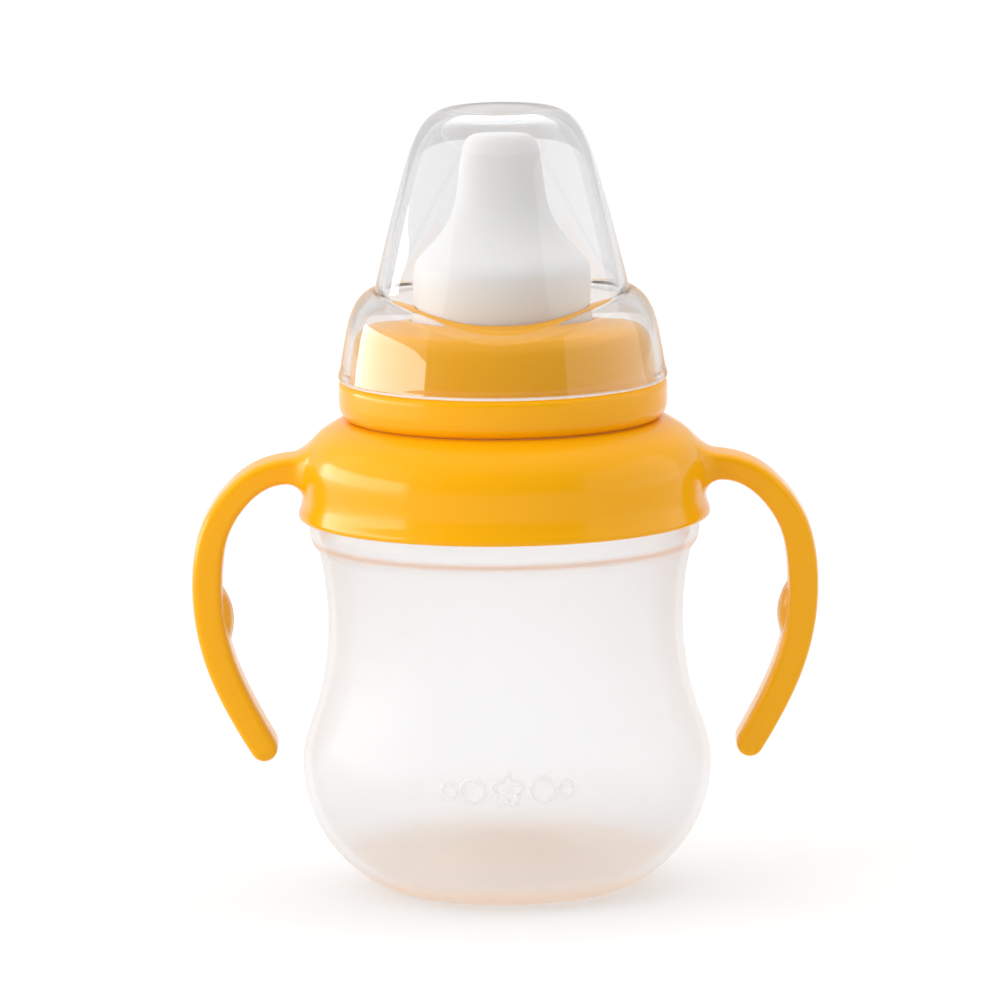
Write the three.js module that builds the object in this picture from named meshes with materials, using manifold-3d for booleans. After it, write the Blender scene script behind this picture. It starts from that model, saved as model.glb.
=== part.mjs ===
// Two-handled training cup, in millimetres, +Z up, origin on the base plane at the cup's axis.
// A translucent cup carries a loose collar with two open handles. A screw cap holds the collar down and
// carries a soft spout, with a slit valve plugged into it, and a clear oval hood clips over the spout.

import * as THREE from 'three';
import { mergeVertices } from 'three/addons/utils/BufferGeometryUtils.js';
import Module from 'manifold-3d';

const ROUND_SIDES = 40; // sides of the large turned pieces
const SMALL_SIDES = 32; // sides of the spout, its valve and the gasket

// Screw thread between the cup's neck and the cap, right-handed
const THREAD_PITCH = 5;
const THREAD_Z = 101.2; // height of the neck thread's first point, at angle zero
const NECK_RADIUS = 27.2;
const NECK_THREAD_HEIGHT = 1.2;
const NECK_THREAD_TURNS = 1.4;
const CAP_BORE_RADIUS = 28.5;
const CAP_THREAD_HEIGHT = 0.9;
const CAP_THREAD_TURNS = 1.35;
const CAP_THREAD_DROP = 2.2; // the cap's thread runs this far below the neck's

// Handles
const STRAP_DEPTH = 12; // along Y
const STRAP_ROUNDING = 1.8;
const PAD_CENTER = [56.2, 55.2]; // x and z of the grip pad on the inner face
const PAD_SIZE = [2.1, 4.0, 6.2]; // half lengths along x, y and z

// Spout
const SPOUT_OUTER_FLATNESS = 0.64; // depth over width at the tip
const SPOUT_INNER_FLATNESS = 0.55;
const FLATTEN_FROM_Z = 125;
const FLATTEN_TO_Z = 146;
const SPOUT_SLOT = [5.5, 1.2, 4]; // drinking slot in the tip
const VALVE_SLIT = [9, 0.8, 4];

// Hood
const HOOD_OUTER_OVAL = 1.127; // depth over width of the dome
const HOOD_INNER_OVAL = 1.133;

// Profiles are [radius, z] pairs.
const CUP_PROFILE = [
  [0, 8.3], [8, 7.8], [14, 5.6], [20.4, 0], [23, 0], [26.4, 1.3], [30.6, 4.1], [35, 8.4], [38.6, 14.3],
  [40.7, 20.7], [41.1, 25.4], [39.8, 31.6], [37, 40], [35.6, 49], [35.5, 57], [36.4, 64],
  [37.4, 68.4], [38.8, 70.6], [39, 73], [37.9, 78], [37.6, 84.5], [36.2, 88.6], [33.4, 91.1],
  [29.4, 91.9], [28.4, 92.6], [28.4, 99.2], [27.2, 99.9], [27.2, 110], [25.6, 110], [25.6, 91.4],
  [27.2, 90.3], [32.6, 89.4], [35, 87.4], [36, 84.2], [36.3, 78], [37.3, 73], [37.1, 71.5],
  [35.8, 68.9], [34.8, 64.2], [33.9, 57], [34, 49.1], [35.5, 40], [38.2, 32], [39.5, 25.6],
  [39.1, 21], [37.1, 15], [33.8, 9.4], [29.8, 5.7], [25.8, 3.1], [21.9, 2.2], [14.8, 7.2],
  [8.3, 9.5], [0, 10],
];
const CAP_PROFILE = [
  [30.6, 95.2], [31.6, 95.2], [32.5, 95.8], [32.8, 96.8], [32.8, 101.7], [32.3, 102.4], [30.8, 102.4],
  [30.4, 105.8], [29.9, 109.2], [29.2, 111.6], [28, 113.2], [26.2, 114.1], [23.5, 114.6],
  [19.2, 115.7], [18.15, 115.3], [18.15, 112.5], [26.6, 112.1], [27.8, 111.2], [28.4, 109.9],
  [CAP_BORE_RADIUS, 108.6], [CAP_BORE_RADIUS, 101], [30.6, 100.2],
];
const COLLAR_OUTER = [
  [0, 75.1], [40.4, 75.1], [41.2, 75.5], [41.1, 76.4], [40.4, 79], [40.1, 82], [40.1, 86.6],
  [39.3, 88.7], [37.9, 91], [35.9, 93], [33.6, 94.3], [31.6, 94.8], [0, 94.8],
];
const COLLAR_INNER = [
  [0, 74], [39.35, 74], [39.35, 75.6], [38.6, 79], [38.2, 82], [38.2, 85.6], [37.4, 88.2],
  [35.8, 90.6], [33.8, 92.1], [31, 92.8], [28.95, 92.9], [28.95, 96], [0, 96],
];
// Centre line of the right handle: x, z and half the strap's thickness, from inside the collar to the tip.
const STRAP_LINE = [
  [35, 83.2, 6.6], [38.4, 83.6, 6.4], [40.6, 84.3, 4.1], [43, 84.9, 2.8], [45.6, 84.7, 2.55],
  [48.4, 83.8, 2.6], [51.7, 81.7, 2.65], [54.7, 78.5, 2.75], [57.1, 74.9, 2.85], [58.7, 70.8, 2.95],
  [59.5, 65.7, 3.05], [59.7, 60, 3.05], [59.2, 54.2, 3.05], [58, 48.6, 3.05], [56.2, 43.2, 3],
  [53.7, 37.8, 2.95], [50.9, 32.6, 2.9], [48.7, 28.9, 2.8],
];
const SPOUT_OUTER = [
  [0, 110], [24, 110], [24, 111.8], [17.8, 111.8], [17.8, 124.6], [17, 126.6], [15.2, 128.6],
  [12.2, 131.8], [9.9, 135.6], [8.8, 140.5], [8.3, 146.3], [7.5, 150.2], [6.5, 151.9],
  [4.8, 152.7], [0, 152.9],
];
const SPOUT_INNER = [
  [0, 109], [16, 109], [16, 124.2], [14.2, 126.9], [10.6, 130.7], [8.3, 134.9], [7.1, 140.2],
  [6.6, 146], [5.8, 149.7], [4.4, 151], [0, 151.3],
];
const VALVE_PROFILE = [
  [0, 117.2], [10, 116.7], [14.8, 115.9], [15.65, 115], [15.65, 109.7], [17.6, 109.7], [17.6, 108.6],
  [14, 108.6], [14, 114.1], [9.4, 115.1], [0, 115.6],
];
const GASKET_PROFILE = [
  [25.75, 110.35], [26.95, 110.35], [26.95, 111.7], [25.75, 111.7],
];
const HOOD_SKIRT_OUTER = [
  [0, 102.8], [32.3, 102.8], [32.7, 103.2], [32.2, 106.6], [31.6, 110.2], [31, 113.6],
  [30.1, 116.3], [28.9, 118.7], [26.8, 120.5], [22, 121.6], [0, 122],
];
const HOOD_SKIRT_INNER = [
  [0, 101.8], [31.4, 101.8], [31, 106.4], [30.4, 110], [29.8, 113.3], [28.9, 115.8],
  [27.9, 117.7], [26.2, 119.2], [22, 120.2], [0, 120.7],
];
const HOOD_DOME_OUTER = [
  [0, 112], [26.8, 112], [26.8, 116], [25.1, 122.5], [23.2, 129.8], [21.3, 137.1], [19.2, 144.4],
  [17.7, 149.1], [16.8, 151.4], [15.6, 153.5], [13.2, 155.8], [10.6, 156.8], [0, 156.8],
];
const HOOD_DOME_INNER = [
  [0, 110], [25.6, 110], [25.6, 116], [23.9, 122.3], [22, 129.6], [20.1, 136.9], [18, 144.1],
  [16.5, 148.8], [15.6, 150.8], [14.4, 152.7], [12.6, 154.5], [10.4, 155.5], [0, 155.5],
];

const wasm = await Module();
wasm.setup();

function toSolid(geometry) {
  const bare = geometry.clone();
  bare.deleteAttribute('normal');
  bare.deleteAttribute('uv');
  const merged = mergeVertices(bare, 1e-4);
  return new wasm.Manifold(new wasm.Mesh({
    numProp: 3,
    vertProperties: new Float32Array(merged.attributes.position.array),
    triVerts: new Uint32Array(merged.index.array),
  }));
}

function toGeometry(solid) {
  const mesh = solid.getMesh();
  const geometry = new THREE.BufferGeometry();
  geometry.setAttribute('position', new THREE.BufferAttribute(mesh.vertProperties, 3));
  geometry.setIndex(new THREE.BufferAttribute(mesh.triVerts, 1));
  geometry.computeVertexNormals();
  return geometry;
}

// Turns a profile about Z. A profile that doesn't meet the axis at both ends closes on itself.
function turned(profile, sides = ROUND_SIDES) {
  const points = profile.map(([r, z]) => new THREE.Vector2(r, z));
  if (profile[0][0] > 0) {
    points.push(points[0].clone());
  }
  if (THREE.ShapeUtils.area(points) < 0) {
    points.reverse();
  }
  return new THREE.LatheGeometry(points, sides).rotateX(Math.PI / 2);
}

function moveVertices(geometry, move) {
  const position = geometry.attributes.position;
  const point = new THREE.Vector3();
  for (let i = 0; i < position.count; i += 1) {
    move(point.fromBufferAttribute(position, i));
    position.setXYZ(i, point.x, point.y, point.z);
  }
  return geometry;
}

// A rib wound up the thread's helix. Its height is positive outwards or negative inwards, and it sinks
// back into the wall at both ends.
function threadRib(radius, height, turns, startTurn, drop) {
  const root = -Math.sign(height) * 0.6;
  const section = new THREE.Shape([
    new THREE.Vector2(root, -1.5),
    new THREE.Vector2(0, -1.2),
    new THREE.Vector2(height, -0.45),
    new THREE.Vector2(height, 0.45),
    new THREE.Vector2(0, 1.2),
    new THREE.Vector2(root, 1.5),
  ]);
  const steps = Math.round(turns * ROUND_SIDES / 2);
  const rib = new THREE.ExtrudeGeometry(section, { depth: 1, steps, bevelEnabled: false });
  return moveVertices(rib, (p) => {
    const fade = Math.min(1, Math.min(p.z, 1 - p.z) / 0.08 + 0.1);
    const turn = startTurn + turns * p.z;
    const r = radius + (p.x * height > 0 ? p.x * fade : p.x);
    const z = THREAD_Z - drop + THREAD_PITCH * turn - p.y;
    p.set(r * Math.cos(2 * Math.PI * turn), r * Math.sin(2 * Math.PI * turn), z);
  });
}

function flatten(geometry, flatness) {
  return moveVertices(geometry, (p) => {
    const t = THREE.MathUtils.smoothstep(p.z, FLATTEN_FROM_Z, FLATTEN_TO_Z);
    p.y *= 1 + (flatness - 1) * t;
  });
}

function box([x, y, z], height) {
  return new THREE.BoxGeometry(x, y, z).translate(0, 0, height);
}

// Outline of the strap: both edges of the centre line and a round tip.
function strapShape() {
  const line = STRAP_LINE.map(([x, z]) => new THREE.Vector2(x, z));
  const outer = [];
  const inner = [];
  line.forEach((point, i) => {
    const before = line[Math.max(i - 1, 0)];
    const after = line[Math.min(i + 1, line.length - 1)];
    const along = after.clone().sub(before).normalize();
    const across = new THREE.Vector2(-along.y, along.x).multiplyScalar(STRAP_LINE[i][2]);
    outer.push(point.clone().add(across));
    inner.push(point.clone().sub(across));
  });
  const tip = line[line.length - 1];
  const start = outer[outer.length - 1].clone().sub(tip);
  const arc = [1, 2, 3, 4].map((k) => start.clone().rotateAround(new THREE.Vector2(), -k * Math.PI / 5).add(tip));
  return new THREE.Shape([...outer, ...arc, ...inner.reverse()]);
}

function rightHandle() {
  const strap = new THREE.ExtrudeGeometry(strapShape(), {
    depth: STRAP_DEPTH - 2 * STRAP_ROUNDING,
    bevelThickness: STRAP_ROUNDING,
    bevelSize: STRAP_ROUNDING,
    bevelOffset: -STRAP_ROUNDING,
    bevelSegments: 2,
  });
  strap.translate(0, 0, STRAP_ROUNDING - STRAP_DEPTH / 2);
  strap.rotateX(Math.PI / 2);
  const pad = new THREE.SphereGeometry(1, 14, 8);
  pad.scale(...PAD_SIZE);
  pad.translate(PAD_CENTER[0], 0, PAD_CENTER[1]);
  return toSolid(strap).add(toSolid(pad));
}

function cupBody() {
  const thread = threadRib(NECK_RADIUS, NECK_THREAD_HEIGHT, NECK_THREAD_TURNS, 0, 0);
  return toSolid(turned(CUP_PROFILE)).add(toSolid(thread));
}

function handleRing() {
  const right = rightHandle();
  const left = right.rotate([0, 0, 180]);
  return toSolid(turned(COLLAR_OUTER)).add(right).add(left).subtract(toSolid(turned(COLLAR_INNER)));
}

function screwCap() {
  const start = (CAP_THREAD_DROP + 0.7) / THREAD_PITCH;
  const thread = threadRib(CAP_BORE_RADIUS, -CAP_THREAD_HEIGHT, CAP_THREAD_TURNS, start, CAP_THREAD_DROP);
  return toSolid(turned(CAP_PROFILE)).add(toSolid(thread));
}

function spout() {
  const outer = toSolid(flatten(turned(SPOUT_OUTER, SMALL_SIDES), SPOUT_OUTER_FLATNESS));
  const inner = toSolid(flatten(turned(SPOUT_INNER, SMALL_SIDES), SPOUT_INNER_FLATNESS));
  return outer.subtract(inner).subtract(toSolid(box(SPOUT_SLOT, 152.2)));
}

function spoutValve() {
  return toSolid(turned(VALVE_PROFILE, SMALL_SIDES)).subtract(toSolid(box(VALVE_SLIT, 116.4)));
}

function hood() {
  const shell = (skirt, dome, oval) => toSolid(turned(skirt)).add(toSolid(turned(dome).scale(1, oval, 1)));
  return shell(HOOD_SKIRT_OUTER, HOOD_DOME_OUTER, HOOD_OUTER_OVAL)
    .subtract(shell(HOOD_SKIRT_INNER, HOOD_DOME_INNER, HOOD_INNER_OVAL));
}

const PIECES = [
  ['cup_body', toGeometry(cupBody()), 0xf1efec, 0.35],
  ['handle_ring', toGeometry(handleRing()), 0xfdb517, 0.2],
  ['screw_cap', toGeometry(screwCap()), 0xfdb517, 0.2],
  ['neck_gasket', turned(GASKET_PROFILE, SMALL_SIDES), 0xe9e7e3, 0.6],
  ['spout', toGeometry(spout()), 0xeceae6, 0.5],
  ['spout_valve', toGeometry(spoutValve()), 0xe9e7e3, 0.6],
  ['hood', toGeometry(hood()), 0xf4f4f6, 0.05],
];

const cup = new THREE.Group();
for (const [name, geometry, color, roughness] of PIECES) {
  const material = new THREE.MeshStandardMaterial({ color, roughness, metalness: 0 });
  const mesh = new THREE.Mesh(geometry, material);
  mesh.name = name;
  cup.add(mesh);
}

export default cup;
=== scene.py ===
"""Two-handled training cup: a milky cup body, a loose collar with two open handles, a screw cap, a soft
spout with its slit valve, and a clear oval hood, on a plain white studio floor."""

import math

import bmesh
import bpy
from bpy.props import FloatProperty, FloatVectorProperty, PointerProperty
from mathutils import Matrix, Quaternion, Vector


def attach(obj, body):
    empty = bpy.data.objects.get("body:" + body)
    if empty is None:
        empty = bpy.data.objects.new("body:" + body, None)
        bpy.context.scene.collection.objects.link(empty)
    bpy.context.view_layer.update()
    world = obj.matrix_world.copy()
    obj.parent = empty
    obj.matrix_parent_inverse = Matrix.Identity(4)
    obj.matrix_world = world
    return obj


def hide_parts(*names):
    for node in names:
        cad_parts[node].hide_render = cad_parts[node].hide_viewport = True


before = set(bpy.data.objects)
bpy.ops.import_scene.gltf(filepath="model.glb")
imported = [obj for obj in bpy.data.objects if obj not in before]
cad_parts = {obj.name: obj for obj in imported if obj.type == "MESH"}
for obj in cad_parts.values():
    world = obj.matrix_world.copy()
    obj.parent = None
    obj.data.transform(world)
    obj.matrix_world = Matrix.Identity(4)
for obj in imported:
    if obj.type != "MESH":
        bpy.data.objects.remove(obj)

bl_info = {
    "name": "Training Cup",
    "version": (1, 0, 0),
    "blender": (4, 5, 0),
    "location": "3D View > Sidebar > Training Cup",
    "description": "Builds a two-handled training cup with a spout and a clear hood",
    "category": "Add Mesh",
}

MM = 0.001
FRONT = -math.pi / 2  # angle about Z of the side without a handle that faces the camera

# ---------------------------------------------------------------------------------------------------------
# Shapes. Every profile is a list of runs of [radius, height] in millimetres. A run is a smooth curve, and
# two runs meet in a crisp edge.
# ---------------------------------------------------------------------------------------------------------

CUP_OUTSIDE = [
    [[0, 8.3], [3.4, 8.3]],
    [[3.4, 8.3], [3.8, 7.9], [6.5, 7.9], [10, 7.1], [14, 5.3], [17.6, 2.6], [19.6, 0.7], [20.7, 0.05],
     [21.4, 0]],
    [[21.4, 0], [22.6, 0]],
    [[22.6, 0], [23.7, 0.1], [25.8, 0.95], [28.6, 2.5], [31.8, 4.9], [35, 8.2], [37.6, 12.1],
     [39.5, 16.3], [40.7, 20.9], [41.1, 25.3], [40.6, 29.2], [39.4, 32.9], [37.9, 37], [36.6, 42],
     [35.8, 47.4], [35.4, 53], [35.6, 58.4], [36.1, 63], [36.7, 66.4], [37.2, 68.4]],
    [[37.2, 68.4], [37.45, 68.9], [38, 69.5], [38.6, 70.4], [38.95, 71.8], [39, 73.2], [38.6, 75],
     [38.1, 77.4], [37.8, 80.6], [37.6, 84.2], [37, 87], [35.6, 89.4], [33.2, 91], [30.4, 91.7],
     [28.8, 92], [28.4, 92.9], [28.4, 95]],
    [[28.4, 95], [28.4, 98.7], [28.3, 99.1], [27.4, 99.5], [27.2, 100], [27.2, 102]],
    [[27.2, 102], [27.2, 109], [27.15, 109.7], [26.9, 110], [26.4, 110]],
]
CUP_INSIDE = [
    [[26.4, 110], [25.9, 110], [25.65, 109.7], [25.6, 109]],
    [[25.6, 109], [25.6, 93], [25.7, 91.3], [26.8, 90.3], [29.6, 89.9], [32.4, 89.3], [34.6, 87.8],
     [35.8, 85.4], [36.1, 82], [36.3, 78.4], [36.9, 75.4], [37.3, 73.2], [37.1, 71.6], [36.4, 70],
     [35.6, 68], [35, 65.4], [34.4, 61.8], [34, 57.6], [33.8, 53], [34.1, 47.6], [34.9, 42.4],
     [36.2, 37.6], [37.7, 33.5], [39, 29.2], [39.5, 25.4], [39.1, 21.3], [37.9, 17], [36, 12.9],
     [33.6, 9.4], [30.6, 6.5], [27.6, 4.5], [25.2, 3.2], [23.4, 2.4], [21.8, 2.1], [20.3, 2.6],
     [18, 4.5], [15, 6.8], [11, 8.7], [7, 9.6], [3, 9.95], [0, 10]],
]
COLLAR_OUTSIDE = [
    [[39.35, 75.2], [39.6, 75.1], [40.6, 75.1], [41.05, 75.25], [41.2, 75.6], [41.1, 76.3],
     [40.75, 77.2], [40.4, 78.4], [40.25, 80], [40.2, 82], [40.2, 84.2], [40.1, 86.2], [39.7, 87.9],
     [38.95, 89.6], [37.8, 91.1], [36.4, 92.3], [35, 93.15], [33.9, 93.8], [33, 94.3], [32.2, 94.62],
     [31.4, 94.82], [30.9, 94.88]],
    [[30.9, 94.88], [29.3, 94.85], [28.98, 94.6], [28.95, 94.2]],
]
COLLAR_INSIDE = [
    [[28.95, 94.2], [28.95, 93.3], [29.2, 93], [30, 92.95], [32.4, 92.7], [34.6, 91.7], [36.2, 90.3],
     [37.3, 88.5], [38, 86.4], [38.2, 84], [38.2, 82], [38.45, 80], [38.9, 78], [39.25, 76.4],
     [39.35, 75.6], [39.35, 75.2]],
]
CAP_OUTSIDE = [
    [[31, 94.98], [31.2, 95.02], [31.7, 95.35], [32.3, 96], [32.65, 96.9], [32.8, 97.8], [32.8, 98.6]],
    [[32.8, 98.6], [32.8, 101.4], [32.78, 102], [32.5, 102.35], [32, 102.4]],
    [[32, 102.4], [31.2, 102.4], [30.9, 102.55], [30.8, 102.9], [30.65, 104], [30.3, 106.6],
     [29.9, 109.2], [29.5, 110.9], [28.9, 112.2], [28, 113.2], [26.8, 113.9], [25.2, 114.3],
     [22.8, 114.7], [20.4, 115.3], [19.2, 115.65], [18.6, 115.75], [18.25, 115.6], [18.15, 115.2]],
]
CAP_INSIDE = [
    [[18.15, 115.2], [18.15, 112.9], [18.3, 112.6], [18.7, 112.5]],
    [[18.7, 112.5], [26, 112.15], [27.2, 111.8], [28, 111], [28.4, 109.9], [28.5, 108.4], [28.5, 104],
     [28.5, 101.6], [28.7, 101], [29.6, 100.6], [30.4, 100.1], [30.6, 99.2], [30.6, 97.5], [30.6, 95.8],
     [30.7, 95.15], [31, 94.98]],
]
SPOUT_OUTSIDE = [
    [[0, 152.95], [2.4, 152.9], [4.6, 152.7], [5.9, 152.25], [6.8, 151.4], [7.35, 150.2], [7.8, 148.4],
     [8.3, 145.6], [8.6, 142.6], [8.95, 139.4], [9.6, 136.6], [10.8, 133.8], [12.6, 131.2],
     [14.6, 129.1], [16.2, 127.6], [17.25, 126.2], [17.7, 124.9], [17.8, 123.4], [17.8, 121]],
    [[17.8, 121], [17.8, 112.4], [17.9, 111.95], [18.3, 111.8], [19, 111.8]],
    [[19, 111.8], [23.2, 111.8], [23.8, 111.6], [24, 111.1], [24, 110.6], [23.8, 110.15], [23.2, 110]],
]
SPOUT_INSIDE = [
    [[23.2, 110], [16.6, 110], [16.15, 110.1], [16, 110.6]],
    [[16, 110.6], [16, 123], [15.7, 124.7], [14.9, 126.1], [13.2, 127.8], [11.2, 129.9], [9.4, 132.6],
     [8.2, 135.6], [7.4, 139], [6.9, 143], [6.4, 147], [5.9, 149.3], [5, 150.7], [3.6, 151.25],
     [0, 151.3]],
]
VALVE_OUTSIDE = [
    [[0, 117.25], [5, 117.1], [10, 116.7], [13.6, 116.2], [15, 115.7], [15.6, 115], [15.65, 114]],
    [[15.65, 114], [15.65, 110.1], [15.75, 109.8], [16.1, 109.7]],
    [[16.1, 109.7], [17.2, 109.7], [17.55, 109.55], [17.6, 109.15], [17.55, 108.75], [17.2, 108.6]],
]
VALVE_INSIDE = [
    [[17.2, 108.6], [14.4, 108.6], [14.05, 108.75], [14, 109.2]],
    [[14, 109.2], [14, 113.4], [13.6, 114.3], [12, 114.8], [9, 115.2], [5, 115.5], [0, 115.6]],
]
GASKET = [
    [[26.35, 110.35], [26.8, 110.4], [26.95, 110.6], [26.95, 111.45], [26.8, 111.65], [26.35, 111.7],
     [25.9, 111.65], [25.75, 111.45], [25.75, 110.6], [25.9, 110.4], [26.35, 110.35]],
]
# The hood is a round skirt that meets an oval dome. Its dome is longer from front to back.
SKIRT_OUTSIDE = [
    [32.05, 102.65], [32.45, 102.68], [32.7, 102.85], [32.78, 103.2], [32.68, 103.7], [32.5, 104.3],
    [32.3, 105.6], [31.9, 108.2], [31.4, 111], [30.95, 113.4], [30.35, 115.6], [29.5, 117.6],
    [28.4, 119.2], [26.8, 120.5], [24.6, 121.3], [20, 121.8],
]
SKIRT_INSIDE = [
    [32.05, 102.65], [31.6, 102.75], [31.4, 103.1], [31.35, 104], [31.1, 105.8], [30.7, 108.4],
    [30.2, 111], [29.75, 113.2], [29.1, 115.2], [28.3, 116.9], [27.3, 118.2], [25.9, 119.3],
    [23.9, 120.1], [19.6, 120.6],
]
DOME_OUTSIDE = [
    [27.9, 112], [26.8, 116], [25.2, 122.3], [24.1, 126.3], [23.2, 129.9], [22.3, 133.5], [21.3, 137.2],
    [20.3, 140.8], [19.3, 144.4], [18.4, 147.4], [17.5, 149.9], [16.5, 152.1], [15.3, 154],
    [13.7, 155.6], [12, 156.5], [10.6, 156.8], [9.7, 156.8],
]
DOME_INSIDE = [
    [26.7, 112], [25.6, 116], [24, 122.1], [22.9, 126.1], [22, 129.7], [21.1, 133.3], [20.1, 137],
    [19.1, 140.6], [18.1, 144.1], [17.2, 147], [16.3, 149.3], [15.3, 151.3], [14.1, 153], [12.6, 154.4],
    [11, 155.2], [9.6, 155.5], [8.6, 155.5],
]

# The crease between skirt and dome: its height at the sides, how far it sags towards the front and back,
# and the height over which the dome leans out to meet it.
CREASE_HIGH = 121
CREASE_SAG = 1.5
CREASE_FRONT_SAG = 1.3
CREASE_FRONT_DROP = 2.1
CREASE_BLEND = 4
HOOD_INNER_DROP = 1.1  # how much lower the crease is on the inside
HOOD_INNER_OVAL = 0.006  # how much more oval the dome is on the inside
RIM_Z = 102.65
LIP_TOP = 105.2
LIP_RISE = 0.13
LIP_WAVES = 26
HOOD_STEPS = (44, 70)  # rows below and above the crease
SHOULDER_Z = 110  # where the skirt starts to be lower at the front and back than at the sides
HOOD_TOP_OUTSIDE = [[9.7, 156.8], [9.2, 156.78], [8.8, 156.7], [8, 156.68], [4, 156.7], [0, 156.7]]
HOOD_TOP_INSIDE = [[8.6, 155.5], [5, 155.5], [0, 155.5]]

# Centre line of the right handle: x, z and half the strap's thickness, from the root fillet to the tip.
STRAP_LINE = [
    [43.6, 84.95, 2.75], [45.6, 84.7, 2.6], [48.4, 83.8, 2.6], [51.7, 81.7, 2.65], [54.7, 78.5, 2.75],
    [57.1, 74.9, 2.85], [58.7, 70.8, 2.95], [59.5, 65.7, 3.05], [59.7, 60, 3.05], [59.2, 54.2, 3.05],
    [58, 48.6, 3.05], [56.2, 43.2, 3], [53.7, 37.8, 2.95], [50.9, 32.6, 2.9], [48.7, 28.9, 2.8],
]
ROOT_FILLET = 3.5
ROOT_SINK = 0.02  # how far the fillet's first section lies in the collar's wall
ROOT_DEPTH = 0.9  # how far the strap goes on inside the collar's wall
ROOT_BEND = 5  # length over which the strap's sections become flat
TIP_NARROWING = 2.2
END_ROWS = 9
STRAP_SQUARENESS = 5.5  # exponent of the strap's section: 2 is an ellipse, more is squarer
PAD_HEIGHT = 55.2
PAD_LENGTH = 5.9
PAD_WIDTH = 4.4
PAD_RISE = 1.7

# Raised ornament on the belly. Each ring has an offset round the belly, a half size and a number of petals.
ORNAMENT_Z = 26.6
ORNAMENT_BAND = 4  # half the height of the belly's band that holds it
ORNAMENT_SPAN = math.radians(20)  # half the angle that it may take up
BELLY_RADIUS = 41.1
ORNAMENT = [[-11.6, 1.5, 0], [-6.9, 2.3, 0], [0, 3.1, 5], [6.9, 2.3, 0], [11.6, 1.5, 0]]
ORNAMENT_LINE = 0.42
ORNAMENT_RISE = 0.5

GROOVE_Z = 70.5

THREAD_PITCH = 5
THREAD_Z = 101.2

# Width, depth and height of each slot's cutter, and the height of its middle.
SPOUT_SLOT = (5.5, 1.2, 4)
SPOUT_SLOT_Z = 152.2
VALVE_SLIT = (9, 0.8, 4)
VALVE_SLIT_Z = 116.4

# The spout turns from round to flat between these heights.
TIP_START = 125
TIP_FULL = 146


def respace(points, steps):
    """A polyline's points at an even spacing."""
    reach = [0.0]
    for p, q in zip(points, points[1:]):
        reach.append(reach[-1] + (q - p).length)
    out = []
    k = 0
    for i in range(steps + 1):
        want = reach[-1] * i / steps
        while k < len(reach) - 2 and reach[k + 1] < want:
            k += 1
        span = reach[k + 1] - reach[k]
        out.append(points[k].lerp(points[k + 1], (want - reach[k]) / span if span else 0))
    return out


def smooth_run(points, spacing):
    """Evenly spaced points along the cubic B-spline that starts and ends on the run's end points."""
    pts = [Vector(p) for p in points]
    ctrl = [2 * pts[0] - pts[1], *pts, 2 * pts[-1] - pts[-2]]
    dense = []
    for a, b, c, d in zip(ctrl, ctrl[1:], ctrl[2:], ctrl[3:]):
        for k in range(12):
            t = k / 12
            dense.append(
                ((1 - t) ** 3 * a + (3 * t**3 - 6 * t * t + 4) * b
                 + (-3 * t**3 + 3 * t * t + 3 * t + 1) * c + t**3 * d) / 6
            )
    dense.append(pts[-1])
    length = sum((q - p).length for p, q in zip(dense, dense[1:]))
    return respace(dense, max(2, round(length / spacing)))


def profile(runs, spacing):
    """The points of several runs, one after the other."""
    out = []
    for run in runs:
        pts = smooth_run(run, spacing)
        out.extend(pts[1:] if out else pts)
    return out


def smoothstep(t):
    """Eases from 0 to 1 as t does, and stays there beyond."""
    t = max(0.0, min(1.0, t))
    return t * t * (3 - 2 * t)


def radius_at(path, z):
    """Radius of a profile's first crossing of a height."""
    for p, q in zip(path, path[1:]):
        if min(p[1], q[1]) <= z <= max(p[1], q[1]) and p[1] != q[1]:
            return p[0] + (q[0] - p[0]) * (z - p[1]) / (q[1] - p[1])
    return path[-1][0]


def even_angles(columns):
    return [2 * math.pi * i / columns for i in range(columns)]


def ring(r, z, angles, place=None):
    """One turn of a profile point. A point on the axis gives a ring of one point."""
    if r < 1e-4:
        return [Vector((0, 0, z))]
    points = [Vector((r * math.cos(a), r * math.sin(a), z)) for a in angles]
    return [place(p) for p in points] if place else points


def skin(bm, rings, loop=False, turn=True):
    """Faces between rings of equal length. loop joins the last ring to the first, turn closes each ring."""
    made = [[bm.verts.new(p * MM) for p in r] for r in rings]
    pairs = list(zip(made, made[1:]))
    if loop:
        pairs.append((made[-1], made[0]))
    for low, high in pairs:
        n = max(len(low), len(high))
        for i in range(n if turn else n - 1):
            j = (i + 1) % n
            if len(low) == 1:
                bm.faces.new((low[0], high[j], high[i]))
            elif len(high) == 1:
                bm.faces.new((low[i], low[j], high[0]))
            else:
                bm.faces.new((low[i], low[j], high[j], high[i]))
    return made


def finish_mesh(name, bm, crease=50.0):
    """A smooth object from a bmesh. Its faces point outwards, and edges sharper than crease stay crisp."""
    bmesh.ops.recalc_face_normals(bm, faces=bm.faces)
    mesh = bpy.data.meshes.new(name)
    bm.to_mesh(mesh)
    bm.free()
    mesh.shade_smooth()
    mesh.set_sharp_from_angle(angle=math.radians(crease))
    obj = bpy.data.objects.new(name, mesh)
    bpy.context.scene.collection.objects.link(obj)
    return obj


def place_piece(obj, material, body, *nodes):
    """Gives a piece its finish and its body, and hides the CAD nodes that it stands for."""
    obj.data.materials.append(material)
    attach(obj, body)
    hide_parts(*nodes)
    return obj


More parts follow.
